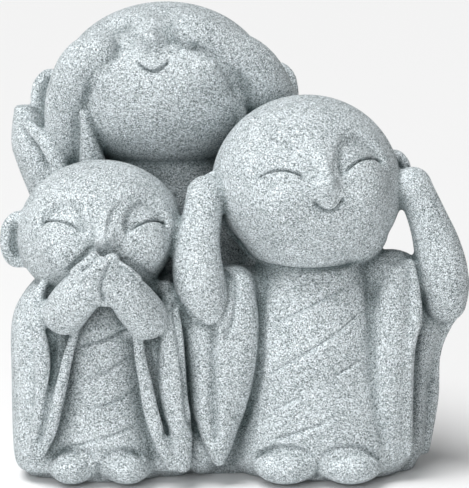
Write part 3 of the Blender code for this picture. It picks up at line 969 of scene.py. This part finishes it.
# any node: settings first, then the values or wires of its sockets
def addNode(tree, kind, settings=None, sockets=None, output=0):
    node = tree.nodes.new(kind)
    for name, value in (settings or {}).items():
        if name == "stops":
            ramp = node.color_ramp
            while len(ramp.elements) < len(value):
                ramp.elements.new(0.5)
            for element, (place, colour) in zip(ramp.elements, value):
                element.position = place
                element.color = colour
        else:
            setattr(node, name, value)
    for name, value in (sockets or {}).items():
        if isinstance(value, Wire):
            tree.links.new(value.socket, node.inputs[name])
        else:
            node.inputs[name].default_value = value
    return Wire(tree, node.outputs[output]) if node.outputs else None


def castStone():
    material = bpy.data.materials.new("granite look")
    material.use_nodes = True
    tree = material.node_tree
    tree.nodes.clear()
    place = addNode(tree, "ShaderNodeTexCoord", output=3)
    # each grain has a colour of its own, and one channel of it serves as a number
    cells = []
    for scale, channel in ((stone["grain"], 0), (stone["grain"] * stone["fineGrain"], 1)):
        sockets = {"Vector": place, "Scale": scale}
        colour = addNode(tree, "ShaderNodeTexVoronoi", {"feature": "F1"}, sockets, output=1)
        cells.append(addNode(tree, "ShaderNodeSeparateColor", {}, {"Color": colour}, output=channel))
    sockets = {"Vector": place, "Scale": stone["clouds"], "Detail": 3.0, "Roughness": 0.6}
    cloud = addNode(tree, "ShaderNodeTexNoise", {}, sockets)
    grain = cells[0] * stone["coarseShare"] + cells[1] * (1 - stone["coarseShare"])
    grain = grain + (cloud - 0.5) * stone["cloudShare"]
    stops = [(0.20, stone["pits"]), (0.39, stone["dull"]), (0.58, stone["pale"]), (0.80, stone["flecks"])]
    speckle = addNode(tree, "ShaderNodeValToRGB", {"stops": stops}, {"Fac": grain})
    # painted shade: the recesses, grooves and dents darken the speckle towards the recess shade colour
    hollow = addNode(tree, "ShaderNodeAttribute", {"attribute_name": "hollow"}, output=2)
    recess = (hollow * stone["recessShadeShare"]).clamped()
    settings = {"data_type": "RGBA", "blend_type": "MULTIPLY"}
    sockets = {"Factor": recess, "A": speckle, "B": stone["recessShadeColour"]}
    shade = addNode(tree, "ShaderNodeMix", settings, sockets, output=2)
    sockets = {"Height": grain, "Strength": stone["reliefStrength"], "Distance": stone["relief"]}
    relief = addNode(tree, "ShaderNodeBump", {}, sockets)
    sockets = {"Base Color": shade, "Roughness": stone["roughness"], "Normal": relief, "Metallic": 0.0}
    shader = addNode(tree, "ShaderNodeBsdfPrincipled", {}, sockets)
    addNode(tree, "ShaderNodeOutputMaterial", {}, {"Surface": shader})
    return material


monks.data.materials.clear()
monks.data.materials.append(castStone())
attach(monks, "root")
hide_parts("monk_statue")
print("stone finish made")

studio = {
    "distance": 1.3,  # of the camera, in metres
    "elevation": 10.0,
    "target": (-1.0, 0.0, 107.6),  # where it aims, in the drawing's millimetres
    "focal": 2600 / 488 * 36,
    "floor": (0.86, 0.86, 0.86, 1),
    "floorHalf": 12.0,
    "floorRoughness": 0.9,
    "sky": 0.24,
    "top": {"direction": (-0.35, -0.3, 1.0), "angle": 35, "strength": 2.9},
    "front": {"location": (-0.28, -0.95, 0.38), "size": 0.45, "power": 4.0},
}


def aimAt(thing, target):
    thing.rotation_mode = "QUATERNION"
    thing.rotation_quaternion = (Vector(target) - thing.location).to_track_quat("-Z", "Y")


# light from a direction, softened by the angle that it fills
def addSun(name, direction, angle, strength):
    sun = bpy.data.lights.new(name, "SUN")
    sun.angle = math.radians(angle)
    sun.energy = strength
    holder = bpy.data.objects.new(name, sun)
    holder.location = direction
    aimAt(holder, (0, 0, 0))
    bpy.context.scene.collection.objects.link(holder)


# light from a square panel that faces the target
def addPanel(name, target, location, size, power):
    panel = bpy.data.lights.new(name, "AREA")
    panel.size = size
    panel.energy = power
    holder = bpy.data.objects.new(name, panel)
    holder.location = location
    aimAt(holder, target)
    bpy.context.scene.collection.objects.link(holder)


def addStudio():
    scene = bpy.context.scene
    target = Vector(studio["target"]) * mm + Vector((offset[0], offset[1], 0))
    lens = bpy.data.cameras.new("camera")
    lens.sensor_width = 36
    lens.lens = studio["focal"]
    lens.clip_start = 0.05
    camera = bpy.data.objects.new("camera", lens)
    tilt = math.radians(studio["elevation"])
    camera.location = target + Vector((0, -math.cos(tilt), math.sin(tilt))) * studio["distance"]
    aimAt(camera, target)
    scene.collection.objects.link(camera)
    scene.camera = camera
    floorMesh = bpy.data.meshes.new("floor")
    bm = bmesh.new()
    bmesh.ops.create_grid(bm, x_segments=1, y_segments=1, size=studio["floorHalf"])
    bm.to_mesh(floorMesh)
    bm.free()
    floor = bpy.data.objects.new("floor", floorMesh)
    scene.collection.objects.link(floor)
    paint = bpy.data.materials.new("floor paint")
    paint.use_nodes = True
    shader = paint.node_tree.nodes["Principled BSDF"]
    shader.inputs["Base Color"].default_value = studio["floor"]
    shader.inputs["Roughness"].default_value = studio["floorRoughness"]
    floorMesh.materials.append(paint)
    addSun("top", **studio["top"])
    addPanel("front", target, **studio["front"])
    world = bpy.data.worlds.new("studio")
    world.use_nodes = True
    background = world.node_tree.nodes["Background"]
    background.inputs["Color"].default_value = (1, 1, 1, 1)
    background.inputs["Strength"].default_value = studio["sky"]
    scene.world = world
    scene.view_settings.view_transform = "Standard"


addStudio()
print("studio set")
